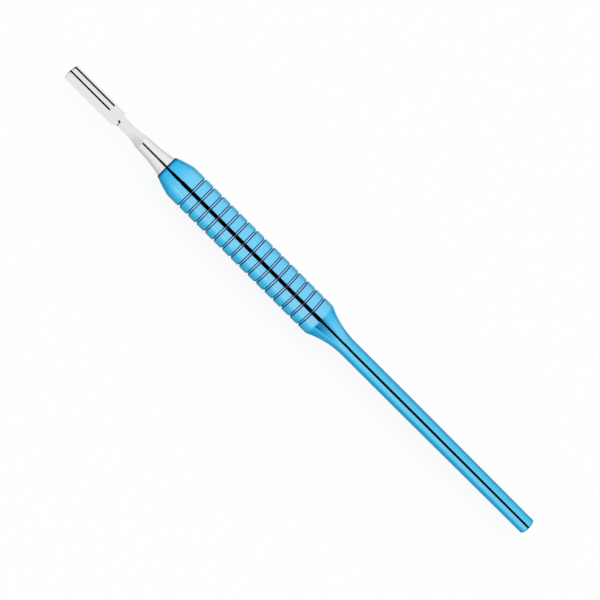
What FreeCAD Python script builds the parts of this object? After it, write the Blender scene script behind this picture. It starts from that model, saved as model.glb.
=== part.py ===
import FreeCAD, Part

import math
import os

import Sketcher
from FreeCAD import Vector

# A round scalpel handle for slide-on blades, in millimetres.
# The handle's axis is X: the blade end points to -X and the slim tail to +X.
# The origin is on the axis, at the middle of the round grip.
# The face of the blade holder that takes the blade looks along +Z.

SIZES = {
    # the grip, a cylinder with ring grooves
    "grip_len": 48.3,
    "grip_dia": 9.65,
    "front_land": 3.83,
    "rear_land": 2.97,
    "groove_count": 15,
    "groove_width": 0.3,
    "groove_depth": 0.45,
    "groove_lip": 0.27,
    # the nose that narrows from the grip to the blade holder
    "nose_len": 5.04,
    "nose_dia": 6.4,
    "nose_bow": 34,
    "nose_blend": 4,
    "nose_lip": 0.2,
    # the hollow flare behind the grip, and the slim tail
    "flare_len": 10.5,
    "flare_blend": 0.8,
    "tail_dia": 4.76,
    "tail_straight": 21.8,
    "tail_taper": 42.45,
    "tail_end_dia": 4.47,
    "tail_edge": 0.35,
    # the blind socket in the nose and the spigot that fills it
    "spigot_dia": 3.6,
    "spigot_len": 9,
    "spigot_tip": 0.4,
    "socket_gap": 0.02,
    "socket_spare": 0.6,
    "drill_point": 1.1,
    # the round ferrule of the blade holder
    "ferrule_len": 8.1,
    "ferrule_rear_dia": 6,
    "ferrule_front_dia": 4.1,
    # the bar milled in front of the ferrule: the neck and the tang
    "bar_thick": 2,
    "neck_len": 7.5,
    "neck_width": 2.2,
    "neck_rise": 4.3,
    "tang_len": 17.4,
    "tang_width": 4.3,
    "shoulder_slant": 0.9,
    "far_slant": 0.5,
    "heel_radius": 1.7,
    "shoulder_root": 0.2,
    "tip_corner": 0.75,
    "tip_bevel": 0.5,
    "tip_drop": 0.42,
    # the rib that guides the blade, between two undercut grooves
    "rib_width": 1.5,
    "rib_offset": 0.17,
    "slot_len": 13.65,
    "slot_width": 0.6,
    "slot_depth": 0.8,
    "undercut_depth": 0.25,
    "undercut_height": 0.45,
}

# How far a cutting outline stands clear of the metal that it removes
CLEAR = 1.0
# How near two lengths are when they count as the same
SAME = 1e-4

doc = FreeCAD.newDocument("scalpel_handle")


class Size:
    """A length: its value now, and the expression that makes it follow the sheet."""

    def __init__(self, text, value):
        self.text = text
        self.value = value

    def __add__(self, other):
        return Size("(%s + %s)" % (self.text, words(other)), self.value + number(other))

    def __sub__(self, other):
        return Size("(%s - %s)" % (self.text, words(other)), self.value - number(other))

    def __mul__(self, other):
        return Size("(%s * %s)" % (self.text, words(other)), self.value * number(other))

    def __truediv__(self, other):
        return Size("(%s / %s)" % (self.text, words(other)), self.value / number(other))

    def __neg__(self):
        return Size("(0 - %s)" % self.text, -self.value)


def words(length):
    return length.text if isinstance(length, Size) else repr(length)


def number(length):
    return length.value if isinstance(length, Size) else length


def make_sheet():
    """The sheet of driving sizes, one named cell a row."""
    sheet = doc.addObject("Spreadsheet::Sheet", "sizes")
    for row, (name, value) in enumerate(SIZES.items(), start=1):
        sheet.set("A%d" % row, name)
        sheet.set("B%d" % row, str(value))
        sheet.setAlias("B%d" % row, name)
    doc.recompute()
    return sheet


def read_sizes(sheet):
    return {name: Size("sizes." + name, float(getattr(sheet, name))) for name in SIZES}


size = read_sizes(make_sheet())

# Places along the axis that both pieces share
grip_front = -size["grip_len"] / 2
grip_rear = size["grip_len"] / 2
seat = grip_front - size["nose_len"]
ferrule_front = seat - size["ferrule_len"]
shoulder = ferrule_front - size["neck_len"]
tip = shoulder - size["tang_len"]


def new_sketch(body, role, name, offset=None):
    """A sketch on one of the body's own origin planes, moved by offset along its normal."""
    planes = [plane for plane in body.Origin.OriginFeatures if plane.Role == role]
    sketch = body.newObject("Sketcher::SketchObject", name)
    sketch.AttachmentSupport = [(planes[0], "")]
    sketch.MapMode = "FlatFace"
    if offset is not None:
        sketch.setExpression("AttachmentOffset.Base.z", offset.text)
    return sketch


def arc_between(start, end, radius, side):
    """The short arc from start to end that bulges to the left (1) or the right (-1)."""
    chord = end - start
    half = chord.Length / 2
    across = Vector(-chord.y, chord.x, 0).normalize() * side
    centre = start + chord / 2 - across * math.sqrt(max(radius * radius - half * half, 0))
    # an arc in a sketch always runs counter-clockwise
    first, last = (end, start) if side > 0 else (start, end)
    circle = Part.Circle(centre, Vector(0, 0, 1), radius)
    return Part.ArcOfCircle(circle, turn_to(first - centre), turn_to(last - centre))


def turn_to(direction):
    return math.atan2(direction.y, direction.x)


def draw_loop(sketch, corners):
    """Draws a closed outline through corners that follow the sheet.

    A corner (x, y) starts a straight edge to the next one. A corner (x, y, radius, side)
    starts an arc to it, which bulges to the left (1) or the right (-1) of the way there.
    """
    points = [Vector(number(corner[0]), number(corner[1]), 0) for corner in corners]
    edges = []
    for index, corner in enumerate(corners):
        start = points[index]
        end = points[(index + 1) % len(points)]
        if len(corner) == 2:
            edges.append(sketch.addGeometry(Part.LineSegment(start, end)))
        else:
            edges.append(sketch.addGeometry(arc_between(start, end, number(corner[2]), corner[3])))
    ends = [find_ends(sketch, edge, point) for edge, point in zip(edges, points)]
    for index, corner in enumerate(corners):
        before = index - 1
        sketch.addConstraint(
            Sketcher.Constraint("Coincident", edges[before], ends[before][1], edges[index], ends[index][0])
        )
        fix_coordinate(sketch, "DistanceX", -2, edges[index], ends[index][0], corner[0])
        fix_coordinate(sketch, "DistanceY", -1, edges[index], ends[index][0], corner[1])
        if len(corner) == 4:
            bind(sketch, Sketcher.Constraint("Radius", edges[index], number(corner[2])), corner[2])


def find_ends(sketch, edge, point):
    """The numbers of an edge's first and last point, given where it should start."""
    if sketch.Geometry[edge].StartPoint.distanceToPoint(point) < SAME:
        return 1, 2
    return 2, 1


def fix_coordinate(sketch, kind, axis, edge, end, length):
    """Holds one end of an edge at a coordinate, or on the axis where that is zero."""
    if number(length) == 0:
        sketch.addConstraint(Sketcher.Constraint("PointOnObject", edge, end, axis))
    else:
        bind(sketch, Sketcher.Constraint(kind, -1, 1, edge, end, number(length)), length)


def bind(sketch, constraint, length):
    """Adds a constraint whose value follows the sheet."""
    index = sketch.addConstraint(constraint)
    sketch.setExpression("Constraints[%d]" % index, length.text)


def mirrored(corners):
    """The same outline on the other side of the sketch's horizontal axis."""
    return [(corner[0], -corner[1]) + tuple(flip_arc(corner)) for corner in corners]


def flip_arc(corner):
    return (corner[2], -corner[3]) if len(corner) == 4 else ()


def tangent_radius(length, drop):
    """The radius of an arc that runs level at one end and changes by drop over length."""
    return (length * length + drop * drop) / (drop * 2)


def revolve(body, kind, name, sketch):
    """Turns a sketch about the handle's axis, to add metal or to cut it."""
    feature = body.newObject("PartDesign::" + kind, name)
    feature.Profile = sketch
    feature.ReferenceAxis = (sketch, ["H_Axis"])
    feature.Angle = 360
    doc.recompute()
    return feature


def pocket(body, name, sketch, depth=None, along_normal=False):
    """Cuts a sketch out, to a depth or right through to both sides."""
    feature = body.newObject("PartDesign::Pocket", name)
    feature.Profile = sketch
    feature.Reversed = along_normal
    if depth is None:
        feature.Type = "ThroughAll"
        feature.SideType = "Symmetric"
    else:
        feature.setExpression("Length", depth.text)
    doc.recompute()
    return feature


def round_edges(body, name, radius, is_wanted):
    """Rounds the edges of the body's last feature that the test picks out."""
    base = body.Tip
    names = ["Edge%d" % count for count, edge in enumerate(base.Shape.Edges, start=1) if is_wanted(edge)]
    if not names:
        raise RuntimeError("no edge to round for " + name)
    feature = body.newObject("PartDesign::Fillet", name)
    feature.Base = (base, names)
    feature.setExpression("Radius", radius.text)
    doc.recompute()
    return feature


def ring_at(place, radius):
    """Picks out the circle about the axis at a place along it."""

    def is_wanted(edge):
        return (
            isinstance(edge.Curve, Part.Circle)
            and abs(edge.Curve.Center.x - number(place)) < SAME
            and abs(edge.Curve.Radius - number(radius)) < SAME
        )

    return is_wanted


def upright_at(places):
    """Picks out the straight edges along Z that stand at one of the (x, y) places."""

    def is_wanted(edge):
        if not isinstance(edge.Curve, Part.Line):
            return False
        if abs(abs(edge.Curve.Direction.z) - 1) > SAME:
            return False
        middle = edge.CenterOfMass
        return any(
            abs(middle.x - number(x)) < SAME and abs(middle.y - number(y)) < SAME for x, y in places
        )

    return is_wanted


def make_handle_body():
    """The turned body: nose, grooved grip, flare and tail, with a socket in the nose."""
    body = doc.addObject("PartDesign::Body", "handle_body")
    grip_radius = size["grip_dia"] / 2
    nose_radius = size["nose_dia"] / 2
    tail_radius = size["tail_dia"] / 2
    tail_end_radius = size["tail_end_dia"] / 2
    flare_end = grip_rear + size["flare_len"]
    taper_start = flare_end + size["tail_straight"]
    tail_end = taper_start + size["tail_taper"]
    flare_radius = tangent_radius(size["flare_len"], grip_radius - tail_radius)

    outline = new_sketch(body, "XZ_Plane", "body_outline")
    draw_loop(
        outline,
        [
            (seat, 0),
            (seat, nose_radius, size["nose_bow"], 1),
            (grip_front, grip_radius),
            (grip_rear, grip_radius, flare_radius, -1),
            (flare_end, tail_radius),
            (taper_start, tail_radius),
            (tail_end, tail_end_radius),
            (tail_end, 0),
        ],
    )
    revolve(body, "Revolution", "turned_body", outline)
    round_edges(body, "front_lip", size["nose_lip"], ring_at(seat, nose_radius))
    round_edges(body, "nose_shoulder", size["nose_blend"], ring_at(grip_front, grip_radius))
    round_edges(body, "flare_shoulder", size["flare_blend"], ring_at(grip_rear, grip_radius))
    round_edges(body, "tail_end_edge", size["tail_edge"], ring_at(tail_end, tail_end_radius))
    cut_socket(body)
    cut_grip_grooves(body, grip_radius)
    return body


def cut_socket(body):
    """The drilled hole in the nose, with its cone at the bottom."""
    radius = size["spigot_dia"] / 2 + size["socket_gap"]
    bottom = seat + size["spigot_len"] + size["socket_spare"]
    outline = new_sketch(body, "XZ_Plane", "socket_outline")
    draw_loop(
        outline,
        [
            (seat, 0),
            (seat, radius),
            (bottom, radius),
            (bottom + size["drill_point"], 0),
        ],
    )
    revolve(body, "Groove", "socket", outline)


def cut_grip_grooves(body, grip_radius):
    """The ring grooves of the grip: square ones, with both edges broken by a chamfer."""
    middle = grip_front + size["front_land"]
    wall = size["groove_width"] / 2
    lip = size["groove_lip"]
    floor = grip_radius - size["groove_depth"]
    outline = new_sketch(body, "XZ_Plane", "groove_outline")
    draw_loop(
        outline,
        [
            (middle - wall - lip, grip_radius),
            (middle - wall, grip_radius - lip),
            (middle - wall, floor),
            (middle + wall, floor),
            (middle + wall, grip_radius - lip),
            (middle + wall + lip, grip_radius),
            (middle + wall + lip, grip_radius + lip),
            (middle - wall - lip, grip_radius + lip),
        ],
    )
    first = revolve(body, "Groove", "first_groove", outline)
    grooves = body.newObject("PartDesign::LinearPattern", "grip_grooves")
    grooves.Originals = [first]
    grooves.Direction = (outline, ["H_Axis"])
    grooves.Mode = "Extent"
    grooved = size["grip_len"] - size["front_land"] - size["rear_land"]
    grooves.setExpression("Length", grooved.text)
    grooves.setExpression("Occurrences", size["groove_count"].text)
    body.Tip = grooves
    doc.recompute()


def make_blade_holder():
    """The steel piece: turned with its spigot and ferrule, then milled to neck and tang."""
    body = doc.addObject("PartDesign::Body", "blade_holder")
    # the blank is as wide as the corners of the milled bar need
    blank_radius = (size["tang_width"] + size["bar_thick"]) / 2
    turn_blank(body, blank_radius)
    mill_thickness(body, blank_radius + CLEAR)
    mill_outline(body, blank_radius + CLEAR)
    mill_grooves(body)
    return body


def turn_blank(body, blank_radius):
    spigot_radius = size["spigot_dia"] / 2
    spigot_end = seat + size["spigot_len"]
    chamfer = size["spigot_tip"]
    rear_radius = size["ferrule_rear_dia"] / 2
    front_radius = size["ferrule_front_dia"] / 2
    hollow = tangent_radius(size["ferrule_len"], rear_radius - front_radius)
    outline = new_sketch(body, "XZ_Plane", "blank_outline")
    draw_loop(
        outline,
        [
            (spigot_end, 0),
            (spigot_end, spigot_radius - chamfer),
            (spigot_end - chamfer, spigot_radius),
            (seat, spigot_radius),
            (seat, rear_radius, hollow, 1),
            (ferrule_front, front_radius),
            (shoulder, front_radius),
            (shoulder, blank_radius),
            (tip, blank_radius),
            (tip, 0),
        ],
    )
    revolve(body, "Revolution", "turned_blank", outline)


def mill_thickness(body, outside):
    """Cuts the flat faces of tang and neck, which rise to the ferrule, and the tip's bevel."""
    face = size["bar_thick"] / 2
    front_radius = size["ferrule_front_dia"] / 2
    rise_start = ferrule_front - size["neck_rise"]
    rise_radius = tangent_radius(size["neck_rise"], front_radius - face)
    before_tip = tip - CLEAR
    rise_and_outside = [
        (rise_start, face, rise_radius, -1),
        (ferrule_front, front_radius),
        (ferrule_front, outside),
        (before_tip, outside),
    ]
    top = [
        (before_tip, face - size["tip_drop"]),
        (tip, face - size["tip_drop"]),
        (tip + size["tip_bevel"], face),
    ]
    outline = new_sketch(body, "XZ_Plane", "thickness_outline")
    draw_loop(outline, top + rise_and_outside)
    draw_loop(outline, mirrored([(before_tip, face)] + rise_and_outside))
    pocket(body, "flat_faces", outline)


def mill_outline(body, outside):
    """Cuts the sides of tang and neck: round tip corners and slanted shoulders."""
    tang_side = size["tang_width"] / 2
    neck_side = size["neck_width"] / 2
    corner = size["tip_corner"]
    slanted = shoulder - size["shoulder_slant"]
    far_inner = slanted + size["far_slant"]
    before_tip = tip - CLEAR
    outline = new_sketch(body, "XY_Plane", "side_outline")
    for outer, inner, mirror in ((slanted, far_inner, False), (shoulder, slanted, True)):
        loop = [
            (before_tip, tang_side - corner),
            (tip, tang_side - corner, corner, 1),
            (tip + corner, tang_side),
            (outer, tang_side),
            (inner, neck_side),
            (ferrule_front, neck_side),
            (ferrule_front, outside),
            (before_tip, outside),
        ]
        draw_loop(outline, mirrored(loop) if mirror else loop)
    pocket(body, "sides", outline)
    roots = [
        (far_inner, neck_side),
        (slanted, -neck_side),
        (ferrule_front, neck_side),
        (ferrule_front, -neck_side),
    ]
    round_edges(body, "neck_roots", size["shoulder_root"], upright_at(roots))
    round_heel(body, "near", shoulder, neck_side, outside)
    round_heel(body, "far", slanted, -neck_side, outside)


def round_heel(body, side, corner, beside_neck, outside):
    """Rounds the lower rear edge of the ear that the tang has beside the neck."""
    face = size["bar_thick"] / 2
    radius = size["heel_radius"]
    # the normal of this plane looks along -Y
    outline = new_sketch(body, "XZ_Plane", side + "_heel_outline", beside_neck)
    draw_loop(
        outline,
        [
            (corner - radius, -face, radius, -1),
            (corner, radius - face),
            (corner + CLEAR, radius - face),
            (corner + CLEAR, -outside),
            (corner - radius, -outside),
        ],
    )
    pocket(body, side + "_heel", outline, outside, along_normal=number(beside_neck) > 0)


def mill_grooves(body):
    """Cuts the two grooves beside the rib, and their undercuts beneath the rib's head."""
    face = size["bar_thick"] / 2
    width = size["slot_width"]
    straight = size["slot_len"] - width / 2
    before_tip = tip - CLEAR
    floor = face - size["slot_depth"]
    slots = new_sketch(body, "XY_Plane", "slot_outline", face)
    undercuts = new_sketch(body, "YZ_Plane", "undercut_outline", before_tip)
    for side in (1, -1):
        near = size["rib_offset"] + size["rib_width"] / 2 * side
        far = near + width * side
        deep = near - size["undercut_depth"] * side
        draw_loop(
            slots,
            [
                (before_tip, near),
                (tip + straight, near, width / 2, -side),
                (tip + size["slot_len"], (near + far) / 2, width / 2, -side),
                (tip + straight, far),
                (before_tip, far),
            ],
        )
        draw_loop(
            undercuts,
            [
                (deep, floor),
                (deep, floor + size["undercut_height"]),
                (far, floor + size["undercut_height"]),
                (far, floor),
            ],
        )
    pocket(body, "slots", slots, size["slot_depth"])
    pocket(body, "undercuts", undercuts, straight + CLEAR, along_normal=True)


def check_feature(feature):
    """Stops if a feature failed, or if one that should cut took nothing off."""
    if "Invalid" in feature.State or "Error" in feature.State:
        raise RuntimeError("%s is %s" % (feature.Label, feature.State))
    cuts = ("PartDesign::Pocket", "PartDesign::Groove", "PartDesign::LinearPattern")
    if feature.TypeId in cuts and feature.Shape.Volume > feature.BaseFeature.Shape.Volume - SAME:
        raise RuntimeError(feature.Label + " cuts nothing")


def check_and_save(bodies):
    for feature in doc.Objects:
        check_feature(feature)
    for body in bodies:
        if body.Shape.isNull() or not body.Shape.isValid() or len(body.Shape.Solids) != 1:
            raise RuntimeError(body.Label + " is not one valid solid")
    os.makedirs("parts", exist_ok=True)
    for body in bodies:
        body.Shape.exportStep("parts/%s.step" % body.Label)
        print("%s: %.1f mm3, box %s" % (body.Label, body.Shape.Volume, body.Shape.BoundBox))


pieces = [make_handle_body(), make_blade_holder()]
doc.recompute()
check_and_save(pieces)
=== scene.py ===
import math

import bpy
from mathutils import Matrix, Vector

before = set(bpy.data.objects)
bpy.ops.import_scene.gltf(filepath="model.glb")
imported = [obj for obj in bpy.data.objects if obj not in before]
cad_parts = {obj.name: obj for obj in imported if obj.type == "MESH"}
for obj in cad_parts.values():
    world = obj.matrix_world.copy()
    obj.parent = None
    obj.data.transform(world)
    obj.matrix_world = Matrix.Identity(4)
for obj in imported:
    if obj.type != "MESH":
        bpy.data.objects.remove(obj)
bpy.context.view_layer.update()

MM = 0.001

# The handle's axis is X. The camera looks at it from the side, from 45 degrees above.
AXIS = Vector((1, 0, 0))
CAMERA_LIFT = math.radians(45)
CAMERA_TURN = math.radians(-5)
CAMERA_DISTANCE = 397.7 * MM
CAMERA_TARGET = Vector((17.355 * MM, 0, 0))
# How far the handle's axis falls to the right in the picture
AXIS_FALL = math.radians(44.93)
# The distance to the camera is this many times half the picture's side
DISTANCE_TO_HALF_SIDE = 1600 / 300
SENSOR_WIDTH = 36
CLIP_START = 0.01
CLIP_END = 10

GRIP_RADIUS = 4.825 * MM
GRIP_HALF = 24.15 * MM
GROOVE_FLOOR_RADIUS = 4.375 * MM
NOSE_FRONT = -29.19 * MM
FERRULE_FRONT = -37.29 * MM
RIB_MIDDLE = 0.17 * MM
# Where shade is painted in the slots beside the rib, with their undercuts: by the distance from the
# rib's middle, by the level over the axis, and along the handle
SLOT_MIDDLE = 0.925 * MM
SLOT_HALF = 0.435 * MM
SLOT_LEVEL = 0.58 * MM
SLOT_LEVEL_HALF = 0.4 * MM
SLOT_END = -48.45 * MM
# Where shade is painted in the deep corner between the neck's side and the tang's near ear
CORNER_PLACE = -45.12 * MM
CORNER_HALF = 0.4 * MM
CORNER_SIDE = 1.2 * MM
CORNER_DEPTH = 0.15 * MM
CORNER_TOP = 0.97 * MM


# Node helpers


def new_tree(owner):
    """An empty node tree on a material or world."""
    owner.use_nodes = True
    owner.node_tree.nodes.clear()
    return owner.node_tree


def add(tree, kind, inputs=None, **settings):
    """Adds a node, sets its properties, and sets or links its inputs."""
    node = tree.nodes.new(kind)
    for name, value in settings.items():
        setattr(node, name, value)
    for name, value in (inputs or {}).items():
        if isinstance(value, bpy.types.NodeSocket):
            tree.links.new(value, node.inputs[name])
        else:
            node.inputs[name].default_value = value
    return node


def math_node(tree, operation, *values):
    return add(tree, "ShaderNodeMath", dict(enumerate(values)), operation=operation).outputs[0]


def vector_node(tree, operation, inputs):
    return add(tree, "ShaderNodeVectorMath", inputs, operation=operation)


def dot(tree, vector, direction):
    return vector_node(tree, "DOT_PRODUCT", {0: vector, 1: direction}).outputs["Value"]


def ramp(tree, factor, stops, interpolation="LINEAR"):
    """A colour ramp. Each stop is a place from 0 to 1 and a grey or a colour."""
    node = add(tree, "ShaderNodeValToRGB", {"Fac": factor})
    node.color_ramp.interpolation = interpolation
    elements = node.color_ramp.elements
    while len(elements) < len(stops):
        elements.new(0.5)
    for element, (place, colour) in zip(elements, stops):
        element.position = place
        grey = isinstance(colour, (int, float))
        element.color = (colour, colour, colour, 1) if grey else (*colour, 1)
    return node.outputs["Color"]


def span(tree, value, low, high):
    """Maps low..high to 0..1, and holds what lies outside at the ends."""
    inputs = {"Value": value, "From Min": low, "From Max": high}
    return add(tree, "ShaderNodeMapRange", inputs, clamp=True).outputs["Result"]


def mix_colour(tree, factor, first, second, blend="MIX"):
    node = add(tree, "ShaderNodeMix", data_type="RGBA", blend_type=blend)
    for socket, value in ((node.inputs[0], factor), (node.inputs[6], first), (node.inputs[7], second)):
        if isinstance(value, bpy.types.NodeSocket):
            tree.links.new(value, socket)
        elif isinstance(value, tuple):
            socket.default_value = (*value, 1)
        else:
            socket.default_value = value
    return node.outputs[2]


def multiply_colour(tree, first, second):
    return mix_colour(tree, 1.0, first, second, "MULTIPLY")


def mix_shader(tree, factor, first, second):
    inputs = {0: factor, 1: first.outputs[0], 2: second.outputs[0]}
    return add(tree, "ShaderNodeMixShader", inputs)


# Camera


def camera_axes():
    """The direction from the object to the camera, and the picture's right and up."""
    level = math.cos(CAMERA_TURN)
    toward = Vector(
        (math.sin(CAMERA_TURN), -level * math.cos(CAMERA_LIFT), level * math.sin(CAMERA_LIFT))
    )
    along = (AXIS - toward * AXIS.dot(toward)).normalized()
    across = along.cross(toward)
    right = along * math.cos(AXIS_FALL) - across * math.sin(AXIS_FALL)
    up = -along * math.sin(AXIS_FALL) - across * math.cos(AXIS_FALL)
    return toward, right, up


def add_camera():
    toward, right, up = camera_axes()
    data = bpy.data.cameras.new("camera")
    data.sensor_width = SENSOR_WIDTH
    data.lens = data.sensor_width / 2 * DISTANCE_TO_HALF_SIDE
    data.clip_start = CLIP_START
    data.clip_end = CLIP_END
    camera = bpy.data.objects.new("camera", data)
    turn = Matrix((right, up, toward)).transposed().to_4x4()
    camera.matrix_world = Matrix.Translation(CAMERA_TARGET + toward * CAMERA_DISTANCE) @ turn
    bpy.context.scene.collection.objects.link(camera)
    bpy.context.scene.camera = camera


# Surroundings: a white tent with tinted panels, and a narrow dark slit where the camera looks in

# The slit's half width over its distance, from the blade end (0) to the tail end (1)
SLIT = (
    (0.15, 0.207),
    (0.19, 0.222),
    (0.25, 0.222),
    (0.3, 0.204),
    (0.34, 0.172),
    (0.38, 0.185),
    (0.45, 0.199),
    (0.495, 0.2225),
    (0.55, 0.2155),
    (0.567, 0.261),
    (0.6, 0.272),
    (0.64, 0.262),
    (0.66, 0.246),
    (0.72, 0.227),
    (0.82, 0.22),
    (0.87, 0.184),
    (0.92, 0.208),
)
# The slit's edge runs from dark to light over this share of its half width, on both sides of it
SLIT_SOFTNESS = 0.1
# Keeps the slit's place finite beside and behind it
LEAST_AHEAD = 0.001
# How far the slit's middle leans to the front, over its distance, with LEAN_BACK to take off
LEAN = (
    (0.0, 0.1),
    (0.2, 0.092),
    (0.3, 0.07),
    (0.5, 0.066),
    (0.55, 0.055),
    (0.567, 0.065),
    (0.6, 0.03),
    (0.64, 0.015),
    (0.66, 0.05),
    (0.72, 0.04),
    (0.8, 0.015),
)
LEAN_BACK = 0.05
# A dim blue panel for the flare's steep side, around the axis and along it
PANEL_BLUE = (0.0, 0.2, 0.32)
PANEL_AROUND = (
    (0.33, 0.0),
    (0.4, 0.2),
    (0.44, 0.5),
    (0.5, 0.58),
    (0.58, 0.62),
    (0.61, 0.68),
    (0.64, 0.82),
    (0.66, 0.95),
    (0.685, 0.95),
    (0.7, 0.0),
)
PANEL_ALONG = ((0.71, 0.0), (0.88, 1.0))
# A warm panel beside the slit, which the tail sees, and the grip sees less
WARM = (2.0, 1.05, 0.93)
WARM_AROUND = (
    (0.36, 0.0),
    (0.43, 0.25),
    (0.5, 0.5),
    (0.53, 0.9),
    (0.6, 0.85),
    (0.65, 0.8),
    (0.665, 0.4),
    (0.69, 0.0),
)
WARM_ALONG = ((0.49, 0.0), (0.51, 0.35), (0.55, 0.35), (0.567, 1.0), (0.642, 1.0), (0.69, 0.0))
# A dim panel over the back, for the tail's upper edge
DIM = (0.4, 0.58, 0.6)
DIM_AROUND = ((0.1, 1.0), (0.16, 0.85), (0.22, 0.38), (0.32, 0.2), (0.4, 0.0))
DIM_ALONG = ((0.555, 0.0), (0.567, 1.0), (0.64, 1.0), (0.67, 0.0))
# A cyan panel in front, for the lower side of the flare's rear
CYAN = (0.45, 0.98, 1.0)
CYAN_AROUND = ((0.59, 0.0), (0.64, 1.0), (0.76, 1.0), (0.8, 0.0))
CYAN_ALONG = ((0.63, 0.0), (0.72, 1.0), (0.77, 1.0), (0.83, 0.0))
PANELS = (
    (PANEL_BLUE, PANEL_AROUND, PANEL_ALONG),
    (WARM, WARM_AROUND, WARM_ALONG),
    (DIM, DIM_AROUND, DIM_ALONG),
    (CYAN, CYAN_AROUND, CYAN_ALONG),
)
# Around the axis: places in turns from 0 (away from the slit) by the top to the slit (0.5) and on
# by the front to 1, with the brightness there
AROUND = (
    (0.0, 0.35),
    (0.12, 0.45),
    (0.17, 0.78),
    (0.20, 0.93),
    (0.28, 1.04),
    (0.37, 1.08),
    (0.45, 1.04),
    (0.55, 1.02),
    (0.62, 1.06),
    (0.66, 1.04),
    (0.75, 0.9),
    (1.0, 0.5),
)
# Along the axis, from the blade end (0) to the tail end (1)
ALONG = (
    (0.0, 0.3),
    (0.03, 0.7),
    (0.08, 1.0),
    (0.88, 1.0),
    (0.92, 0.8),
    (0.96, 0.25),
    (1.0, 0.02),
)


def add_slit(tree, ahead, aside, place):
    """Dark (0) inside the slit and light (1) outside it."""
    lean = math_node(tree, "SUBTRACT", ramp(tree, place, LEAN), LEAN_BACK)
    over = math_node(tree, "DIVIDE", aside, math_node(tree, "MAXIMUM", ahead, LEAST_AHEAD))
    off_middle = math_node(tree, "ABSOLUTE", math_node(tree, "SUBTRACT", over, lean))
    share = math_node(tree, "DIVIDE", off_middle, ramp(tree, place, SLIT))
    return span(tree, share, 1 - SLIT_SOFTNESS, 1 + SLIT_SOFTNESS)


def add_world():
    """White light for all but the glossy rays, which see the tent's shades."""
    world = bpy.data.worlds.new("tent")
    bpy.context.scene.world = world
    world.cycles.sampling_method = "NONE"
    tree = new_tree(world)
    to_slit = Vector((0, -math.sin(CAMERA_LIFT), math.cos(CAMERA_LIFT)))
    down_front = AXIS.cross(to_slit)
    direction = add(tree, "ShaderNodeTexCoord").outputs["Generated"]
    ahead = dot(tree, direction, to_slit)
    aside = dot(tree, direction, down_front)
    round_place = span(tree, math_node(tree, "ARCTAN2", aside, ahead), -math.pi, math.pi)
    place = span(tree, dot(tree, direction, AXIS), -1, 1)
    around = ramp(tree, round_place, AROUND, "EASE")
    along = ramp(tree, place, ALONG, "EASE")
    tent = multiply_colour(tree, around, along)
    shade = multiply_colour(tree, tent, add_slit(tree, ahead, aside, place))
    for tint, panel_around, panel_along in PANELS:
        amount = math_node(
            tree, "MULTIPLY", ramp(tree, round_place, panel_around), ramp(tree, place, panel_along)
        )
        shade = mix_colour(tree, amount, shade, multiply_colour(tree, shade, tint))
    glossy = add(tree, "ShaderNodeLightPath").outputs["Is Glossy Ray"]
    colour = mix_colour(tree, glossy, (1.0, 1.0, 1.0), shade)
    background = add(tree, "ShaderNodeBackground", {"Color": colour, "Strength": 1.0})
    add(tree, "ShaderNodeOutputWorld", {"Surface": background.outputs[0]})


# The floor's painted glow, as the reflections see it, by the distance from the handle's axis in
# millimetres.
# Beside the blue body it is painted shadow and blue bounce light, brighter and warmer farther out, and
# beside the steel it is painted shadow close by.
FLOOR_REACH = 60
FLOOR_PAINTED_BY_BLUE = (
    (4.8, (0.38, 0.6, 0.61)),
    (7, (0.28, 0.72, 0.82)),
    (9.3, (0.36, 0.8, 0.9)),
    (13.5, (0.73, 0.95, 0.99)),
    (21, (1.15, 1.05, 1.01)),
    (40, (1.7, 1.22, 1.12)),
    (58, (1.0, 1.0, 1.0)),
)
FLOOR_PAINTED_BY_STEEL = (
    (2, 0.8),
    (5, 0.98),
    (8, 1.03),
    (13, 1.05),
    (30, 1.05),
    (58, 1.0),
)
# The part of the steel's floor that the ferrule sees gets more painted shadow
FLOOR_PAINTED_SHADE_BY_FERRULE = (
    (3.5, 0.78),
    (5, 0.79),
    (8, 0.86),
    (14, 0.91),
    (30, 1.0),
)
# Where one painted shade of the floor gives way to the next, along the handle
FERRULE_BLEND = (FERRULE_FRONT - 5 * MM, FERRULE_FRONT - 2 * MM)
BODY_BLEND = (NOSE_FRONT - 2 * MM, NOSE_FRONT + 1 * MM)
# In front of the flare and the tail the reflections see past the floor, to the tent's own shades
CLEAR_FROM = 30 * MM
CLEAR_BEYOND = 17 * MM
# How much of the floor's look comes from its light and shade, for the camera
FLOOR_SHADE = 0.12
FLOOR_HALF = 2.0
FLOOR_MATT = (0.95, 0.95, 0.95, 1)
WHITE = (1, 1, 1, 1)


def add_painted_floor_reflection(tree):
    """The floor as the reflections see it: a painted glow, with painted shadow and bounce light beside
    the handle.
    """
    split = add(
        tree, "ShaderNodeSeparateXYZ", {0: add(tree, "ShaderNodeTexCoord").outputs["Object"]}
    )
    along, aside = split.outputs["X"], split.outputs["Y"]
    away = math_node(tree, "DIVIDE", math_node(tree, "ABSOLUTE", aside), FLOOR_REACH * MM)
    by_blue, by_steel, painted_ferrule_shade = (
        ramp(tree, away, [(mm / FLOOR_REACH, shade) for mm, shade in shades])
        for shades in (FLOOR_PAINTED_BY_BLUE, FLOOR_PAINTED_BY_STEEL, FLOOR_PAINTED_SHADE_BY_FERRULE)
    )
    by_ferrule = multiply_colour(tree, by_steel, painted_ferrule_shade)
    by_metal = mix_colour(tree, span(tree, along, *FERRULE_BLEND), by_steel, by_ferrule)
    shade = mix_colour(tree, span(tree, along, *BODY_BLEND), by_metal, by_blue)
    painted_glow = add(tree, "ShaderNodeEmission", {"Color": shade})
    clear = add(tree, "ShaderNodeBsdfTransparent", {"Color": WHITE})
    in_front = math_node(tree, "LESS_THAN", aside, -CLEAR_BEYOND)
    by_tail = math_node(tree, "GREATER_THAN", along, CLEAR_FROM)
    return mix_shader(tree, math_node(tree, "MULTIPLY", in_front, by_tail), painted_glow, clear)


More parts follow.
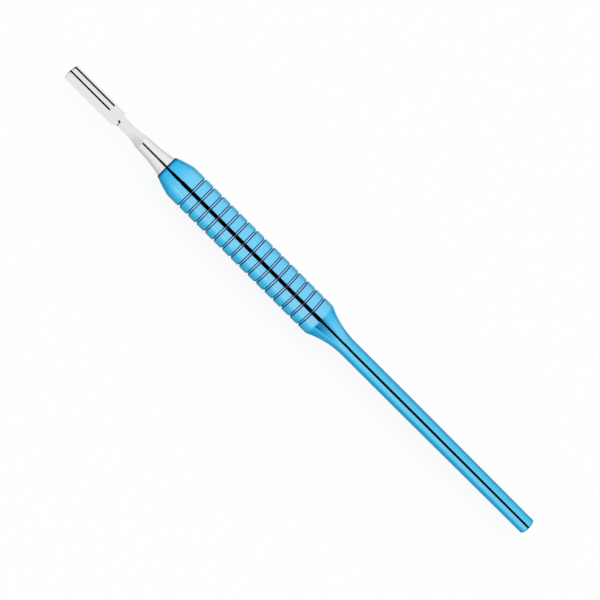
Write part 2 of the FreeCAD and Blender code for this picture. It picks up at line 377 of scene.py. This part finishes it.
def floor_material():
    """White with a faint shadow for the camera, and a painted glow with painted shadow and light for
    the reflections.
    """
    material = bpy.data.materials.new("floor")
    material.cycles.emission_sampling = "NONE"
    tree = new_tree(material)
    white = add(tree, "ShaderNodeEmission", {"Color": WHITE})
    matt = add(tree, "ShaderNodeBsdfDiffuse", {"Color": FLOOR_MATT})
    rays = add(tree, "ShaderNodeLightPath")
    seen = mix_shader(tree, FLOOR_SHADE, white, matt)
    lit = mix_shader(tree, rays.outputs["Is Camera Ray"], matt, seen)
    out = mix_shader(tree, rays.outputs["Is Glossy Ray"], lit, add_painted_floor_reflection(tree))
    add(tree, "ShaderNodeOutputMaterial", {"Surface": out.outputs[0]})
    return material


def add_floor():
    mesh = bpy.data.meshes.new("floor")
    signs = ((-1, -1), (1, -1), (1, 1), (-1, 1))
    corners = [(x * FLOOR_HALF, y * FLOOR_HALF, -GRIP_RADIUS) for x, y in signs]
    mesh.from_pydata(corners, [], [(0, 1, 2, 3)])
    mesh.materials.append(floor_material())
    floor = bpy.data.objects.new("floor", mesh)
    bpy.context.scene.collection.objects.link(floor)


# Materials

NOSE_BLUE = (0.045, 0.48, 0.84)
# Painted shade just behind the nose's front rim
NOSE_PAINTED_SHADE = (0.005, 0.3, 0.62)
LAND_BLUE = (0.165, 0.6, 0.87)
FLARE_BLUE = (0.06, 0.5, 0.84)
FLARE_REAR = (0.135, 0.565, 0.84)
TAIL_BLUE = (0.09, 0.54, 0.84)
GROOVE_LILAC = (0.34, 0.63, 0.97)
# Painted shade: navy on the grooves' walls, and on the rims at the nose's front and the tail's end
NAVY_PAINTED_SHADE = (0.0, 0.05, 0.22)
EDGE_BLUE = (0.45, 0.65, 0.8, 1)
# The body's colours by the place along the handle in millimetres, between two ends, with navy painted
# shade at the nose's front rim and the tail's end, and a deeper painted shade just behind the nose's
# rim
COLOURS_FROM = -30
COLOURS_TO = 100
BODY_COLOURS = (
    (-29.0, NAVY_PAINTED_SHADE),
    (-28.7, NOSE_PAINTED_SHADE),
    (-28.0, NOSE_BLUE),
    (-27.3, NOSE_BLUE),
    (-23, LAND_BLUE),
    (23.9, LAND_BLUE),
    (24.4, FLARE_BLUE),
    (25.6, FLARE_BLUE),
    (28, FLARE_REAR),
    (31, FLARE_REAR),
    (35, TAIL_BLUE),
    (98.55, TAIL_BLUE),
    (98.75, NAVY_PAINTED_SHADE),
)
# A slow drift of the film's thickness
DRIFT_SCALE = 60.0
DRIFT_DETAIL = 1.0
DRIFT_AMOUNT = 0.05
# The grooves are all within this distance of the grip's middle
GROOVED_HALF = GRIP_HALF - 2 * MM
# A radius within this distance of the land's or the groove floor's counts as that one
GROOVE_MARGIN = 0.03 * MM
POLISH = 0.06
GROOVE_ROUGHER = 0.14


def turned_surface(tree, place):
    """The radius there, and the normal of a turned surface, which leans only along the axis."""
    normal = add(tree, "ShaderNodeNewGeometry").outputs["Normal"]
    lean = dot(tree, normal, AXIS)
    beside = vector_node(tree, "MULTIPLY", {0: place, 1: (0, 1, 1)}).outputs[0]
    radius = vector_node(tree, "LENGTH", {0: beside}).outputs["Value"]
    outward = vector_node(tree, "NORMALIZE", {0: beside}).outputs[0]
    squared = math_node(tree, "MULTIPLY", lean, lean)
    share = math_node(tree, "SQRT", math_node(tree, "SUBTRACT", 1.0, squared))
    facing = math_node(tree, "SIGN", dot(tree, normal, outward))
    length = math_node(tree, "MULTIPLY", share, facing)
    out_part = vector_node(tree, "SCALE", {0: outward, "Scale": length}).outputs[0]
    along_part = vector_node(tree, "SCALE", {0: AXIS, "Scale": lean}).outputs[0]
    return radius, vector_node(tree, "ADD", {0: out_part, 1: along_part}).outputs[0]


def body_colour(tree, place, along):
    """The film's colour along the handle, with its slow drift, and painted shade at the nose's front
    rim and the tail's end.
    """
    low, high = COLOURS_FROM * MM, COLOURS_TO * MM
    stops = [((mm * MM - low) / (high - low), colour) for mm, colour in BODY_COLOURS]
    plain = ramp(tree, span(tree, along, low, high), stops)
    inputs = {"Vector": place, "Scale": DRIFT_SCALE, "Detail": DRIFT_DETAIL}
    drift = add(tree, "ShaderNodeTexNoise", inputs)
    return mix_colour(tree, DRIFT_AMOUNT, plain, drift.outputs["Color"], "OVERLAY")


def blue_metal():
    """Polished, anodised metal: deeper blue on the nose and the flare, lilac on the grooves' floors,
    and navy painted shade on the grooves' walls and at the rims of the ends.
    """
    material = bpy.data.materials.new("blue_metal")
    tree = new_tree(material)
    place = add(tree, "ShaderNodeTexCoord").outputs["Object"]
    along = add(tree, "ShaderNodeSeparateXYZ", {0: place}).outputs["X"]
    plain = body_colour(tree, place, along)
    radius, normal = turned_surface(tree, place)
    on_grip = math_node(tree, "LESS_THAN", math_node(tree, "ABSOLUTE", along), GROOVED_HALF)
    below_land = math_node(tree, "LESS_THAN", radius, GRIP_RADIUS - GROOVE_MARGIN)
    sunk = math_node(tree, "MULTIPLY", below_land, on_grip)
    level = math_node(tree, "LESS_THAN", radius, GROOVE_FLOOR_RADIUS + GROOVE_MARGIN)
    # The grooves' floors are lilac, and their walls get navy painted shade
    in_groove = mix_colour(tree, level, NAVY_PAINTED_SHADE, GROOVE_LILAC)
    shader = add(
        tree,
        "ShaderNodeBsdfPrincipled",
        {
            "Base Color": mix_colour(tree, sunk, plain, in_groove),
            "Metallic": 1.0,
            "Roughness": math_node(tree, "MULTIPLY_ADD", sunk, GROOVE_ROUGHER, POLISH),
            "Specular Tint": EDGE_BLUE,
            "Normal": normal,
        },
    )
    add(tree, "ShaderNodeOutputMaterial", {"Surface": shader.outputs[0]})
    return material


STEEL = (0.785, 0.785, 0.785)
STEEL_ROUGHNESS = 0.12
# Painted shade for the undercut slots and the deep corner
SLOT_PAINTED_SHADE = (0.02, 0.02, 0.022)
# The grain runs along the handle
GRAIN_SCALE = (400, 6000, 6000)
GRAIN_DETAIL = 3.0
GRAIN_AMOUNT = 0.08
GRAIN_STRENGTH = 0.04
GRAIN_DEPTH = 0.02 * MM


def all_of(tree, first, second, third):
    """1 where all three are 1."""
    return math_node(tree, "MULTIPLY", math_node(tree, "MULTIPLY", first, second), third)


def painted_shade_places(tree, place):
    """1 where shade is painted: in the undercut slots, and in the deep corner beside the near ear."""
    split = add(tree, "ShaderNodeSeparateXYZ", {0: place})
    along, aside, up = (split.outputs[name] for name in ("X", "Y", "Z"))
    on_tang = math_node(tree, "LESS_THAN", along, SLOT_END)
    level = math_node(tree, "COMPARE", up, SLOT_LEVEL, SLOT_LEVEL_HALF)
    from_rib = math_node(tree, "ABSOLUTE", math_node(tree, "SUBTRACT", aside, RIB_MIDDLE))
    beside_rib = math_node(tree, "COMPARE", from_rib, SLOT_MIDDLE, SLOT_HALF)
    near_ear = math_node(tree, "COMPARE", along, CORNER_PLACE, CORNER_HALF)
    at_root = math_node(tree, "COMPARE", aside, -CORNER_SIDE, CORNER_DEPTH)
    under = math_node(tree, "LESS_THAN", up, CORNER_TOP)
    slots = all_of(tree, on_tang, level, beside_rib)
    corner = all_of(tree, near_ear, at_root, under)
    return math_node(tree, "MAXIMUM", slots, corner)


def steel():
    """Fine satin steel, with painted shade in the undercut slots and in one deep corner."""
    material = bpy.data.materials.new("steel")
    tree = new_tree(material)
    place = add(tree, "ShaderNodeTexCoord").outputs["Object"]
    scaled = add(tree, "ShaderNodeMapping", {"Vector": place, "Scale": GRAIN_SCALE}).outputs[0]
    grain = add(tree, "ShaderNodeTexNoise", {"Vector": scaled, "Scale": 1.0, "Detail": GRAIN_DETAIL})
    toned = mix_colour(tree, GRAIN_AMOUNT, STEEL, grain.outputs["Color"], "OVERLAY")
    bump = add(
        tree,
        "ShaderNodeBump",
        {"Strength": GRAIN_STRENGTH, "Distance": GRAIN_DEPTH, "Height": grain.outputs[0]},
    )
    shader = add(
        tree,
        "ShaderNodeBsdfPrincipled",
        {
            "Base Color": mix_colour(tree, painted_shade_places(tree, place), toned, SLOT_PAINTED_SHADE),
            "Metallic": 1.0,
            "Roughness": STEEL_ROUGHNESS,
            "Normal": bump.outputs[0],
        },
    )
    add(tree, "ShaderNodeOutputMaterial", {"Surface": shader.outputs[0]})
    return material


def dress(name, material):
    """Gives a CAD node its material in every slot."""
    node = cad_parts[name]
    for slot in node.material_slots:
        slot.material = material
    if not node.material_slots:
        node.data.materials.append(material)


bpy.context.scene.view_settings.view_transform = "Standard"
add_camera()
add_world()
add_floor()
dress("handle_body", blue_metal())
dress("blade_holder", steel())
